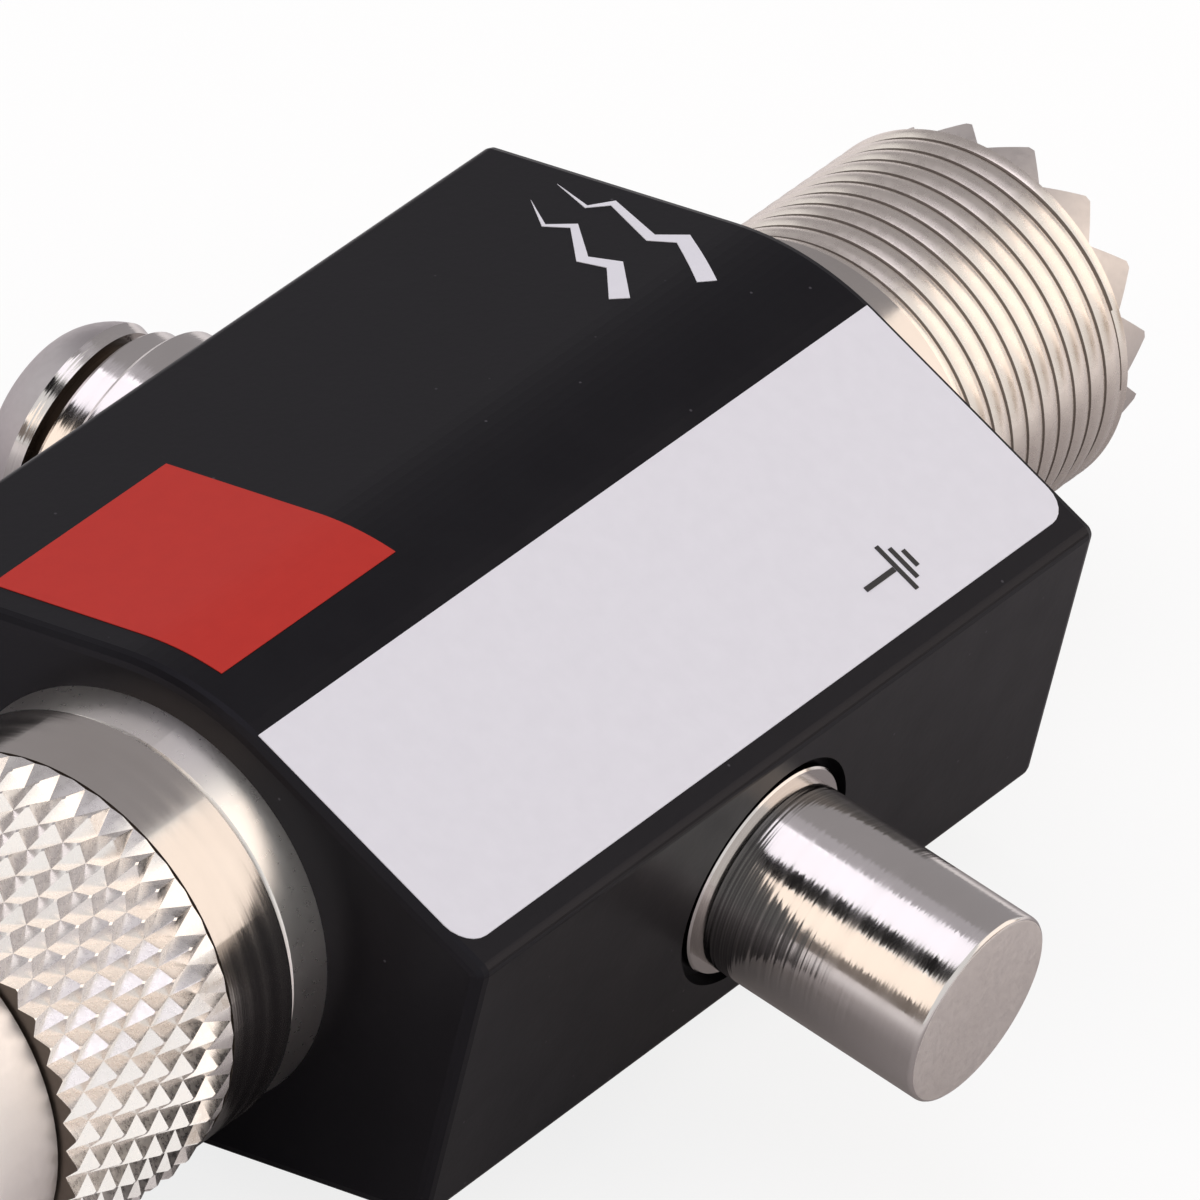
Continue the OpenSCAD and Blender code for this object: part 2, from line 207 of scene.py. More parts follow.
nickel_line = turned_metal("nickel_plate_turned_about_line", X_AXIS, (0, 0, 0),
                           "#d0cac4", "#c3bcb6", 0.12, 0.22, 0.002)
nickel_cross = turned_metal("nickel_plate_turned_about_cap", Y_AXIS, CROSS_POINT,
                            "#d5d0cd", "#cbc6c2", 0.09, 0.18, 0.008)
brass_line = turned_metal("turned_brass", X_AXIS, (0, 0, 0),
                          "#cda85c", "#b98f45", 0.18, 0.28, 0.0016)
print("cross axis at x in mm:", round(cross_x / MM, 2))

# %% [markdown]
# ## Other metals
#
# The knurled grip has no lathe rings left: a wheel pressed its diamonds in, and the plating gives
# them a fine grain. The threads are grained too. The crown was tumbled before it was plated, the nut's
# rim and the cap's end are frosted, the side of the plug's flange is buffed, and the screw's dome has
# a duller satin face. Narrow grooves get a dull nickel whose dark colour is painted shade. The
# springs are drawn steel wire. The split washer under the screw's head is steel strip, coloured
# near black as painted shade in the gap under the head.

# %% Knurled and satin nickel, spring steel
def grained_metal(name, light, dark, grain_mm, smooth, rough, grain_height_mm):
    """Plated or drawn metal with a fine grain that has no direction."""
    material, tree, shader, place = start_material(name)
    grain = add(tree, "ShaderNodeTexNoise", {"Vector": place, "Scale": per_mm(grain_mm), "Detail": 5.0})
    cloud = add(tree, "ShaderNodeTexNoise", {"Vector": place, "Scale": per_mm(CLOUD_MM), "Detail": 3.0})
    tint = add(tree, "ShaderNodeMix",
               {"Factor": cloud.outputs["Fac"], "A": linear(light), "B": linear(dark)}, data_type="RGBA")
    gloss = add(tree, "ShaderNodeMapRange",
                {"Value": grain.outputs["Fac"], "To Min": smooth, "To Max": rough, **NOISE_RANGE})
    bump = add(tree, "ShaderNodeBump",
               {"Height": grain.outputs["Fac"], "Distance": grain_height_mm * MM, "Strength": 1.0})
    feed(tree, shader, Base_Color=tint.outputs["Result"], Metallic=1.0,
         Roughness=gloss.outputs["Result"], Normal=bump.outputs["Normal"])
    return material


nickel_knurled = grained_metal("nickel_plate_knurled", "#f4f0ed", "#e8e3de", 0.25, 0.22, 0.34, 0.004)
nickel_grained = grained_metal("nickel_plate_grained", "#e8dfd6", "#dad1c8", 0.45, 0.22, 0.34, 0.004)
nickel_tumbled = grained_metal("nickel_plate_tumbled", "#d3ccc8", "#c8c1bc", 0.3, 0.46, 0.58, 0.006)
nickel_frosted = grained_metal("nickel_plate_frosted", "#ebe5e1", "#e1dad5", 0.3, 0.44, 0.56, 0.002)
nickel_buffed = grained_metal("nickel_plate_buffed", "#f4efea", "#e9e3dd", 0.3, 0.27, 0.30, 0.001)
nickel_satin = grained_metal("nickel_plate_satin", "#b7b1b2", "#aba5a6", 0.3, 0.36, 0.48, 0.004)
# Dull nickel for grooves; its dark colour is painted shade.
nickel_groove_painted_shade = grained_metal("nickel_plate_in_grooves_painted_shade", "#776d65", "#5f564f", 0.25, 0.4, 0.55, 0.004)
spring_steel = grained_metal("drawn_spring_steel", "#b9b6b1", "#a5a19b", 0.2, 0.25, 0.4, 0.003)
# The split washer's steel is coloured near black as painted shade in the gap under the screw's head.
washer_steel_painted_shade = grained_metal("steel_darkened_as_painted_shade", "#3a3029", "#241f1b", 0.2, 0.35, 0.5, 0.003)
print("grained metals:", nickel_knurled.name, spring_steel.name, washer_steel_painted_shade.name)

# %% [markdown]
# ## Black coat
#
# The housing is a block of aluminium under a satin black coat. A sprayed coat isn't quite flat:
# it has a fine orange peel, and a few specks of dust lie on it. The specks are cells of a Voronoi
# pattern that are shown only close to their centres.

# %% Black coat
PEEL_MM = 0.35
PEEL_HEIGHT_MM = 0.004
COAT_SMOOTH = 0.28
COAT_ROUGH = 0.36
SPECK_CELL_MM = 1.6
SPECK_SHARE = 0.045
SPECK_COVER = 0.35


def sprayed_coat():
    """Satin black with an orange peel and a little dust."""
    material, tree, shader, place = start_material("satin_black_coat")
    peel = add(tree, "ShaderNodeTexNoise", {"Vector": place, "Scale": per_mm(PEEL_MM), "Detail": 4.0})
    cloud = add(tree, "ShaderNodeTexNoise", {"Vector": place, "Scale": per_mm(CLOUD_MM), "Detail": 4.0})
    coat = add(tree, "ShaderNodeMix",
               {"Factor": cloud.outputs["Fac"], "A": linear("#08070a"), "B": linear("#0c0b0e")},
               data_type="RGBA")
    cells = add(tree, "ShaderNodeTexVoronoi", {"Vector": place, "Scale": per_mm(SPECK_CELL_MM)})
    specks = add(tree, "ShaderNodeMapRange",
                 {"Value": cells.outputs["Distance"], "From Min": SPECK_SHARE,
                  "From Max": 0.6 * SPECK_SHARE, "To Min": 0.0, "To Max": SPECK_COVER})
    dusty = add(tree, "ShaderNodeMix",
                {"Factor": specks.outputs["Result"], "A": coat.outputs["Result"], "B": linear("#66636a")},
                data_type="RGBA")
    gloss = add(tree, "ShaderNodeMapRange",
                {"Value": cloud.outputs["Fac"], "To Min": COAT_SMOOTH, "To Max": COAT_ROUGH,
                 **NOISE_RANGE})
    bump = add(tree, "ShaderNodeBump",
               {"Height": peel.outputs["Fac"], "Distance": PEEL_HEIGHT_MM * MM, "Strength": 1.0})
    feed(tree, shader, Base_Color=dusty.outputs["Result"], Roughness=gloss.outputs["Result"],
         Normal=bump.outputs["Normal"], IOR=1.29, Specular_Tint=linear("#efecfa"))
    return material


black_coat = sprayed_coat()
print("coat:", black_coat.name)

# %% [markdown]
# ## Ink, plastic and ceramic
#
# The print on the roof is screen ink: a flat, even film with a slight mottle. The insulators are
# a white waxy plastic that lets a little light in, and the gas tube's ring is fired alumina. One
# recipe serves all of them: a colour that drifts slightly, and a fine grain.

# %% Ink, plastic and ceramic
def mottled(name, light, dark, grain_mm, rough, grain_height_mm, **more):
    """A surface that isn't metal, with a slight mottle and a fine grain."""
    material, tree, shader, place = start_material(name)
    grain = add(tree, "ShaderNodeTexNoise", {"Vector": place, "Scale": per_mm(grain_mm), "Detail": 5.0})
    tint = add(tree, "ShaderNodeMix",
               {"Factor": grain.outputs["Fac"], "A": linear(light), "B": linear(dark)}, data_type="RGBA")
    bump = add(tree, "ShaderNodeBump",
               {"Height": grain.outputs["Fac"], "Distance": grain_height_mm * MM, "Strength": 1.0})
    feed(tree, shader, Base_Color=tint.outputs["Result"], Roughness=rough,
         Normal=bump.outputs["Normal"], **more)
    return material


silver_ink = mottled("silver_screen_ink", "#d9d8e0", "#d2d1d9", 0.8, 0.42, 0.002, IOR=1.5)
red_ink = mottled("red_screen_ink", "#b3271c", "#a92118", 0.8, 0.45, 0.002, IOR=1.36)
black_ink = mottled("black_screen_ink", "#19181b", "#111013", 0.4, 0.4, 0.002, IOR=1.5)
white_plastic = mottled("white_waxy_plastic", "#f2f0e8", "#e8e5dc", 0.6, 0.4, 0.002, IOR=1.38,
                        Subsurface_Weight=0.2, Subsurface_Scale=0.5 * MM)
alumina = mottled("fired_alumina", "#ebe5d8", "#ddd6c8", 0.2, 0.55, 0.004, IOR=1.76)
print("inks:", silver_ink.name, red_ink.name, black_ink.name)

# %% [markdown]
# ## Finishes for the solids that stay
#
# Many CAD solids already have the shape of the real piece, so they stay and only get a finish.
# Smooth shading with sharp edges kept makes their round sides look round. On the housing, weighted
# normals keep the large slopes flat where they run into the rounded ridge.

# %% Give the solids their finish
SHARP_ANGLE = math.radians(32)
FINISHES = {
    "housing": black_coat,
    "plug_body": nickel_line,
    "retaining_ring": spring_steel,
    "coupling_nut": nickel_line,
    "plug_insulator": white_plastic,
    "plug_pin": nickel_line,
    "line_rod": brass_line,
    "socket_barrel": nickel_line,
    "socket_insulator": white_plastic,
    "socket_contact": brass_line,
    "tube_cap": nickel_cross,
    "contact_spring": spring_steel,
    "tube_ceramic": alumina,
    "tube_electrode_inner": nickel_cross,
    "tube_electrode_outer": nickel_cross,
    "earth_screw": nickel_cross,
    "spring_washer": washer_steel_painted_shade,
    "clamp_washer": nickel_cross,
    "flat_washer": nickel_cross,
}
for node, finish in FINISHES.items():
    solid = nodes[node]
    solid.data.materials.clear()
    solid.data.materials.append(finish)
    solid.data.shade_smooth()
    solid.data.set_sharp_from_angle(angle=SHARP_ANGLE)
even = nodes["housing"].modifiers.new("even_shading", "WEIGHTED_NORMAL")
even.keep_sharp = True
print("finished solids:", len(FINISHES))

# %% [markdown]
# ## A lathe in code
#
# A turned piece is a half section swept round an axis. Blender's Screw modifier can do that, but it
# can't cut a thread and a plain shank in one sweep. Here each row of the section is a distance
# along the axis and a radius, and a row may depend on the angle. A thread is then just rows that
# climb by one pitch as they go round.

# %% Turning
WELD = 0.0005 * MM


def lathe_axis(origin, along, side):
    """A function from distance and radius in mm and an angle to a point in metres."""
    along, side = Vector(along), Vector(side)
    across = along.cross(side)

    def place(distance, radius, angle):
        spoke = side * math.cos(angle) + across * math.sin(angle)
        return Vector(origin) + (along * distance + spoke * radius) * MM

    return place


def turned(place, rows, angles):
    """Faces between neighbouring rows of distance and radius, swept through the angles."""
    columns = list(angles) + [angles[0] + TURN]
    grid = [[place(*(row(a) if callable(row) else row), a) for a in columns] for row in rows]
    return [
        (low[j], low[j + 1], high[j + 1], high[j])
        for low, high in zip(grid, grid[1:])
        for j in range(len(columns) - 1)
    ]


def even_angles(count):
    """Angles of evenly spaced columns."""
    return [TURN * i / count for i in range(count)]


def make_piece(name, faces, finish, body):
    """Welds loose faces into one closed mesh that rides on a body."""
    points = [p for face in faces for p in face]
    starts = [0]
    for face in faces:
        starts.append(starts[-1] + len(face))
    corners = [range(starts[i], starts[i + 1]) for i in range(len(faces))]
    mesh = bpy.data.meshes.new(name)
    mesh.from_pydata(points, [], corners)
    shape = bmesh.new()
    shape.from_mesh(mesh)
    bmesh.ops.remove_doubles(shape, verts=shape.verts, dist=WELD)
    bmesh.ops.dissolve_degenerate(shape, dist=WELD, edges=shape.edges)
    bmesh.ops.recalc_face_normals(shape, faces=shape.faces)
    open_edges = sum(not edge.is_manifold for edge in shape.edges)
    shape.to_mesh(mesh)
    shape.free()
    mesh.shade_smooth()
    mesh.set_sharp_from_angle(angle=SHARP_ANGLE)
    mesh.materials.append(finish)
    piece = bpy.data.objects.new(name, mesh)
    bpy.context.scene.collection.objects.link(piece)
    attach(piece, body)
    print(name, "faces:", len(mesh.polygons), "open edges:", open_edges)
    return piece


def off_line(p):
    """Distance of a point from the coax line."""
    return math.hypot(p.y, p.z)


def refinish(piece, finish, wanted):
    """Gives another finish to the faces whose centre, in mm, passes a test."""
    piece.data.materials.append(finish)
    slot = len(piece.data.materials) - 1
    chosen = [face for face in piece.data.polygons if wanted(face.center / MM)]
    for face in chosen:
        face.material_index = slot
    print(piece.name, "faces of", finish.name + ":", len(chosen))


plug_axis = lathe_axis((housing_low.x, 0, 0), (-1, 0, 0), (0, 0, -1))
socket_axis = lathe_axis((housing_high.x, 0, 0), (1, 0, 0), (0, 0, -1))
cap_axis = lathe_axis(CROSS_POINT, (0, -1, 0), (1, 0, 0))
screw_axis = lathe_axis(CROSS_POINT, (0, 1, 0), (1, 0, 0))

# %% [markdown]
# ## Cutting a thread
#
# A screw thread is a V groove with flanks at 60 degrees, and plating leaves its crests wide and
# round. Each turn has seven edges: five over the crest, and the root's start and end. Every edge
# becomes a row that climbs one pitch per turn. Rows that would pass the ends of the thread stop
# there, and the groove gets shallower over a short run-out, as it does where a die stops cutting.

# %% Thread rows
FLANK_RUN = math.tan(math.radians(30))
CREST_DROP = 0.8


def thread_rows(start, end, outer, pitch, depth, crest_share, runout):
    """Rows of a right-handed V thread of this depth, cut inwards from the outer radius."""
    flank_share = depth * FLANK_RUN / pitch
    root_start = crest_share + flank_share
    crest = [(crest_share * i / 4, CREST_DROP * (i / 2 - 1) ** 2) for i in range(5)]
    edges = crest + [(root_start, 1), (1 - flank_share, 1)]

    def edge_row(climb, cut):
        def row(angle):
            distance = start + pitch * (climb + angle / TURN)
            distance = min(max(distance, start), end)
            share = min(distance - start, end - distance, runout) / runout
            return distance, outer - depth * cut * share

        return row

    turns = math.ceil((end - start) / pitch)
    return [edge_row(turn + phase, cut) for turn in range(-1, turns + 1) for phase, cut in edges]


print("flank run for 1 mm of depth:", round(FLANK_RUN, 3))

# %% [markdown]
# ## Socket barrel
#
# The socket is a turned barrel with a 24-turn-per-inch thread outside and a crown of teeth at its
# end, between which the tips of a plug drop. The first few millimetres next to the housing carry no
# thread. The teeth are left by V notches milled across the wall. The lathe's columns are set on the
# notches' own corners to keep them crisp.

# %% Socket barrel
INCH = 25.4
COUPLING_PITCH = INCH / 24
COUPLING_DEPTH = 0.15
COUPLING_CREST = 0.84
THREAD_RUNOUT = 0.5
GROOVE_SHARE = 0.6
barrel_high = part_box("socket_barrel")[1]
socket_end = barrel_high.x / MM
thread_r = barrel_high.z / MM
SPIGOT_R = 7.0
SPIGOT_FROM = -8.0
LINE_BORE_R = 4.6
PLAIN_TO = 3.3
THREAD_TO = 13.8
CROWN_FROM = 14.0
CROWN_R = 7.35
MOUTH_R = 6.2
INSULATOR_R = 5.9
MOUTH_FROM = 6.0
TEETH = 15
TOOTH_DEPTH = 1.5
NOTCH_SHARE = 0.455


def crown_row(radius):
    """The crown's end at one radius: narrow tooth tips with V notches between them."""
    def row(angle):
        offset = abs((angle * TEETH / TURN + 0.5) % 1 - 0.5)
        depth = TOOTH_DEPTH * max(0, 1 - offset / NOTCH_SHARE)
        return socket_end - depth, radius

    return row


half_notch = [NOTCH_SHARE * i / 5 for i in range(6)]
notch_columns = half_notch + [1 - share for share in reversed(half_notch[1:])]
socket_angles = [(i + share) * TURN / TEETH for i in range(TEETH) for share in notch_columns]

socket_rows = [(SPIGOT_FROM, LINE_BORE_R), (SPIGOT_FROM, SPIGOT_R), (0, SPIGOT_R), (0, thread_r)]
socket_rows += thread_rows(PLAIN_TO, THREAD_TO, thread_r, COUPLING_PITCH, COUPLING_DEPTH,
                           COUPLING_CREST, THREAD_RUNOUT)
socket_rows += [(CROWN_FROM, CROWN_R), crown_row(CROWN_R), crown_row(MOUTH_R), (MOUTH_FROM, MOUTH_R),
                (MOUTH_FROM, INSULATOR_R), (0, INSULATOR_R), (0, LINE_BORE_R), (SPIGOT_FROM, LINE_BORE_R)]
socket_piece = make_piece("threaded_socket", turned(socket_axis, socket_rows, socket_angles),
                          nickel_line, "body")
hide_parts("socket_barrel")

groove_r = thread_r - COUPLING_DEPTH * GROOVE_SHARE
refinish(socket_piece, nickel_grained, lambda p: PLAIN_TO < p.x < CROWN_FROM and off_line(p) > groove_r)
# The thread's grooves get the dull nickel that is darkened as painted shade.
refinish(socket_piece, nickel_groove_painted_shade,
         lambda p: PLAIN_TO < p.x < THREAD_TO and SPIGOT_R < off_line(p) < groove_r)
refinish(socket_piece, nickel_tumbled, lambda p: p.x > CROWN_FROM)

# %% [markdown]
# ## Coupling nut
#
# The nut has three bands: a smooth one, the knurled grip and a plain front rim. Two wheels with
# slanted teeth rolled the grip's diamonds in. A displacement texture could draw them, but it would
# round every edge, so each diamond is built as a small pyramid with a flat tip. The first and the
# last row of pyramids are cut in half. At the rear they run out almost flush with the smooth band,
# and at the front they leave a scalloped step.

# %% Knurled grip
DIAMONDS = 46
DIAMOND_ROWS = 7
TIP_SHARE = 0.1
SMOOTH_BAND_W = 3.8
GRIP_W = 10.0
KNURL_DEPTH = 0.52
nut_low, nut_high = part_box("coupling_nut")
nut_from = (housing_low.x - nut_high.x) / MM
nut_to = (housing_low.x - nut_low.x) / MM
GRIP_FROM = nut_from + SMOOTH_BAND_W
GRIP_TO = GRIP_FROM + GRIP_W
BAND_R = 8.95
REAR_TIP_R = BAND_R + 0.03
REAR_ROOT_R = BAND_R - 0.04
tip_r = nut_high.z / MM
root_r = tip_r - KNURL_DEPTH
diamond_angle = TURN / DIAMONDS
row_length = GRIP_W / DIAMOND_ROWS


def knurl():
    """Faces of the grip's pyramids, with the first and last row cut in half."""
    faces = []
    for row in range(DIAMOND_ROWS + 1):
        for i in range(DIAMONDS):
            centre = (i + row / 2 + 0.5) * diamond_angle
            distance = GRIP_FROM + row * row_length
            ways = [(0, -0.5), (1, 0), (0, 0.5), (-1, 0)]
            top_r = REAR_TIP_R if row == 0 else tip_r
            base = [plug_axis(distance + w * row_length, REAR_ROOT_R if row + w == 0 else root_r,
                              centre + s * diamond_angle) for w, s in ways]
            tip = [plug_axis(distance + w * row_length * TIP_SHARE, top_r,
                             centre + s * diamond_angle * TIP_SHARE) for w, s in ways]
            kept = [k for k in range(4) if not (row == 0 and k > 1 or row == DIAMOND_ROWS and k < 2)]
            for k in kept:
                after = (k + 1) % 4
                faces.append((base[k], base[after], tip[after], tip[k]))
            drop = {0: 3, DIAMOND_ROWS: 1}.get(row)
            faces.append(tuple(p for k, p in enumerate(tip) if k != drop))
    return faces


knurl_faces = knurl()
print("knurl faces:", len(knurl_faces), "diamond in mm:", round(diamond_angle * tip_r, 2), "x",
      round(2 * row_length, 2))

# %% [markdown]
# The rest of the nut is turned in two halves whose columns meet the knurl's own corners, so the
# whole nut is one closed mesh. The two halves join in the step between the rear bore and the
# inside thread.

# %% Coupling nut
RELIEF_R = BAND_R - 0.1
RELIEF_W = 0.12
RIM_R = 8.5
REAR_BORE_R = 7.25
NUT_THREAD_R = 7.9875
NUT_THREAD_FROM = 7.3
GROOVE_FROM = 3.6
GROOVE_TO = 4.6
GROOVE_R = 7.75
EDGE = 0.25
REAR_EDGE = 0.1
UNDERCUT_R = 8.3
UNDERCUT_W = 0.15


def knurl_columns(first):
    """Angles of the valleys and of both corners of the tips along one end of the grip."""
    shares = (0, 0.5 - TIP_SHARE / 2, 0.5 + TIP_SHARE / 2)
    return [(first + i + share) * diamond_angle for i in range(DIAMONDS) for share in shares]


def knurl_end(distance, first, low_r, high_r):
    """The zigzag edge of the grip at one end."""
    def row(angle):
        share = (angle / diamond_angle - first) % 1
        rise = min(1, (0.5 - abs(share - 0.5)) / (0.5 - TIP_SHARE / 2))
        return distance, low_r + (high_r - low_r) * rise

    return row


rear_rows = [
    (NUT_THREAD_FROM, REAR_BORE_R), (GROOVE_TO, REAR_BORE_R), (GROOVE_TO, GROOVE_R),
    (GROOVE_FROM, GROOVE_R), (GROOVE_FROM, REAR_BORE_R), (nut_from, REAR_BORE_R),
    (nut_from, BAND_R - REAR_EDGE), (nut_from + REAR_EDGE, BAND_R),
    (GRIP_FROM - RELIEF_W, BAND_R), (GRIP_FROM - RELIEF_W, RELIEF_R), (GRIP_FROM, RELIEF_R),
    knurl_end(GRIP_FROM, 0, REAR_ROOT_R, REAR_TIP_R)]
front_first = DIAMOND_ROWS / 2
front_rows = [
    knurl_end(GRIP_TO, front_first, root_r, tip_r), (GRIP_TO, UNDERCUT_R),
    (GRIP_TO + UNDERCUT_W, UNDERCUT_R), (GRIP_TO + UNDERCUT_W, RIM_R), (nut_to - EDGE, RIM_R),
    (nut_to, RIM_R - EDGE / 2), (nut_to, NUT_THREAD_R + EDGE / 2), (nut_to - EDGE, NUT_THREAD_R)]
front_rows += reversed(thread_rows(NUT_THREAD_FROM + EDGE, nut_to - EDGE, NUT_THREAD_R, COUPLING_PITCH,
                                   COUPLING_DEPTH, COUPLING_CREST, THREAD_RUNOUT))
front_rows += [(NUT_THREAD_FROM, NUT_THREAD_R)]
rear_ring = [plug_axis(NUT_THREAD_FROM, REAR_BORE_R, a) for a in knurl_columns(0)]
front_ring = [plug_axis(NUT_THREAD_FROM, NUT_THREAD_R, a) for a in knurl_columns(0.5)]
step = [(rear_ring[k - 1], rear_ring[k], front_ring[k], front_ring[k - 1]) for k in range(len(rear_ring))]

nut_faces = turned(plug_axis, rear_rows, knurl_columns(0)) + knurl_faces + step
nut_faces += turned(plug_axis, front_rows, knurl_columns(front_first))
nut_piece = make_piece("knurled_coupling_nut", nut_faces, nickel_line, "nut")
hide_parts("coupling_nut")

# %% [markdown]
# The grip has its own finish, without lathe rings, on the faces between the two ends of the knurl.
# The narrow line behind it and the step before it get the grooves' dull nickel, darkened as painted
# shade, and the rim is frosted. The plug's flange, which shows behind the nut, stays a CAD solid with
# a buffed side.

# %% Finish of the grip
FLANGE_SIDE_R = 8.45


def along_plug(p):
    """Distance of a point in mm from the housing's face on the plug's side."""
    return housing_low.x / MM - p.x


relief_from = GRIP_FROM - RELIEF_W
undercut_at = GRIP_TO + UNDERCUT_W / 4
rim_from = GRIP_TO + 0.75 * UNDERCUT_W
refinish(nut_piece, nickel_knurled, lambda p: GRIP_FROM < along_plug(p) < GRIP_TO and off_line(p) > root_r)
refinish(nut_piece, nickel_frosted, lambda p: along_plug(p) > rim_from and off_line(p) > NUT_THREAD_R)
# The line behind the grip and the step before it are darkened as painted shade.
refinish(nut_piece, nickel_groove_painted_shade,
         lambda p: abs(along_plug(p) - relief_from) < 0.75 * RELIEF_W and off_line(p) > RIM_R)
refinish(nut_piece, nickel_groove_painted_shade,
         lambda p: abs(along_plug(p) - undercut_at) < UNDERCUT_W / 2 and off_line(p) > NUT_THREAD_R)
refinish(nodes["plug_body"], nickel_buffed,
         lambda p: 0 < along_plug(p) < nut_from and off_line(p) > FLANGE_SIDE_R)

# %% [markdown]
# ## Cap of the gas tube
#
# The cap is a smooth turned pin with a thin flange at its foot. Below the flange it is threaded,
# which shows when it is screwed out. Its inside is hollow and holds the spring and the gas tube.

# %% Cap
CAP_SEGMENTS = 128
CAP_PITCH = 1.0
CAP_DEPTH = 0.45
CAP_CREST = 0.3
CAP_BORE_R = 2.95
CAP_BORE_TO = 14.5
CAP_THREAD_R = 4.0
CAP_R = 4.15
FLANGE_R = 4.65
FLANGE_T = 0.8
FLANGE_EDGE = 0.08
CAP_NECK = 0.4
CAP_EDGE = 0.22
CAP_EDGE_STEPS = 4
cap_low, cap_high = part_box("tube_cap")
cap_from = -cap_high.y / MM
cap_to = -cap_low.y / MM
face_at = -housing_low.y / MM

cap_rows = [(CAP_BORE_TO, 0), (CAP_BORE_TO, CAP_BORE_R), (cap_from, CAP_BORE_R),
            (cap_from, CAP_THREAD_R - CAP_EDGE)]
cap_rows += thread_rows(cap_from + CAP_EDGE, face_at - FLANGE_T - CAP_NECK, CAP_THREAD_R, CAP_PITCH,
                        CAP_DEPTH, CAP_CREST, THREAD_RUNOUT)
cap_rows += [(face_at - FLANGE_T, CAP_THREAD_R), (face_at - FLANGE_T, FLANGE_R),
             (face_at - FLANGE_EDGE, FLANGE_R), (face_at, FLANGE_R - FLANGE_EDGE), (face_at, CAP_R)]
for i in range(CAP_EDGE_STEPS + 1):
    bend = i / CAP_EDGE_STEPS * math.pi / 2
    cap_rows.append((cap_to - CAP_EDGE * (1 - math.sin(bend)), CAP_R - CAP_EDGE * (1 - math.cos(bend))))
cap_rows.append((cap_to, 0))
cap_piece = make_piece("tube_cap_turned", turned(cap_axis, cap_rows, even_angles(CAP_SEGMENTS)),
                       nickel_cross, "cap")
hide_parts("tube_cap")

# %% [markdown]
# The end of the cap was faced and frosted, and only the side is polished.

# %% Finish of the cap's end
refinish(cap_piece, nickel_frosted, lambda p: -p.y > cap_to - CAP_EDGE / 10)

# %% [markdown]
# ## Earth screw
#
# The earth screw has a domed head with a crisp rim, a cross recess and a coarse thread. The shank
# and the dome are one turned piece. The recess is cut by a Boolean modifier with two crossed bars,
# and the modifier is applied at once, so that only the finished screw is left.

# %% Earth screw
SCREW_SEGMENTS = 96
SCREW_PITCH = 0.8
SCREW_DEPTH = 0.36
SCREW_CREST = 0.25
SCREW_POINT = 0.4
SCREW_SHANK = 1.2
SCREW_R = 2.5
HEAD_R = 4.6
HEAD_SIDE = 0.55
HEAD_TAPER = 0.15
HEAD_FLAT_R = 2.2
RIM_ANGLE = math.radians(30)
DOME_STEPS = 12
RECESS_W = 1.0
RECESS_L = 4.6
RECESS_DEPTH = 1.5
RECESS_TAPER = 0.7
CUTTER_REACH = 0.5
screw_low, screw_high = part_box("earth_screw")
washer_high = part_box("spring_washer")[1]
screw_from = screw_low.y / MM
head_from = washer_high.y / MM
head_to = screw_high.y / MM

screw_rows = [(screw_from, 0), (screw_from, SCREW_R - SCREW_POINT)]
screw_rows += thread_rows(screw_from + SCREW_POINT, head_from - SCREW_SHANK, SCREW_R, SCREW_PITCH,
                          SCREW_DEPTH, SCREW_CREST, THREAD_RUNOUT)
screw_rows += [(head_from, SCREW_R), (head_from, HEAD_R - HEAD_TAPER)]
for i in range(DOME_STEPS + 1):
    bend = RIM_ANGLE + (math.pi / 2 - RIM_ANGLE) * i / DOME_STEPS
    rise = (math.sin(bend) - math.sin(RIM_ANGLE)) / (1 - math.sin(RIM_ANGLE))
    spread = math.cos(bend) / math.cos(RIM_ANGLE)
    screw_rows.append((head_from + HEAD_SIDE + (head_to - head_from - HEAD_SIDE) * rise,
                       HEAD_FLAT_R + (HEAD_R - HEAD_FLAT_R) * spread))
screw_rows.append((head_to, 0))
screw_faces = turned(screw_axis, screw_rows, even_angles(SCREW_SEGMENTS))
screw_piece = make_piece("earth_screw_threaded", screw_faces, nickel_cross, "screw")
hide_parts("earth_screw")


def bar(half_x, half_z, low, high):
    """A tapered bar for one slot of the recess, as loose faces."""
    corners = [(-1, -1), (1, -1), (1, 1), (-1, 1)]
    middle = Vector(CROSS_POINT) / MM

    def ring(y, share):
        return [(middle + Vector((x * half_x * share, y, z * half_z * share))) * MM for x, z in corners]

    foot = ring(low, RECESS_TAPER)
    top = ring(high, 1)
    sides = [(foot[k - 1], foot[k], top[k], top[k - 1]) for k in range(4)]
    return sides + [tuple(foot), tuple(reversed(top))]


for half_x, half_z in ((RECESS_L / 2, RECESS_W / 2), (RECESS_W / 2, RECESS_L / 2)):
    slot_bar = bar(half_x, half_z, head_to - RECESS_DEPTH, head_to + CUTTER_REACH)
    cutter = make_piece("recess_cutter", slot_bar, nickel_cross, "screw")
    cut = screw_piece.modifiers.new("recess", "BOOLEAN")
    cut.operation = "DIFFERENCE"
    cut.object = cutter
    bpy.context.view_layer.update()
    graph = bpy.context.evaluated_depsgraph_get()
    finished = bpy.data.meshes.new_from_object(screw_piece.evaluated_get(graph))
    screw_piece.modifiers.clear()
    screw_piece.data = finished
    bpy.data.objects.remove(cutter)
screw_piece.data.shade_smooth()
screw_piece.data.set_sharp_from_angle(angle=SHARP_ANGLE)
refinish(screw_piece, nickel_satin, lambda p: p.y > head_from + HEAD_SIDE)
print("screw faces after the recess:", len(screw_piece.data.polygons))

# %% [markdown]
# ## Print on the roof
#
# The roof carries a silver field along the front slope, a red field on the rear slope and a small
# mark of two zigzag flashes. Ink is a film a few hundredths of a millimetre thick. It could be
# painted by the roof's own material, but a film with its own edge stays crisp at any size. Each
# outline is drawn flat, cut into strips where the ridge is round, and laid on the roof.

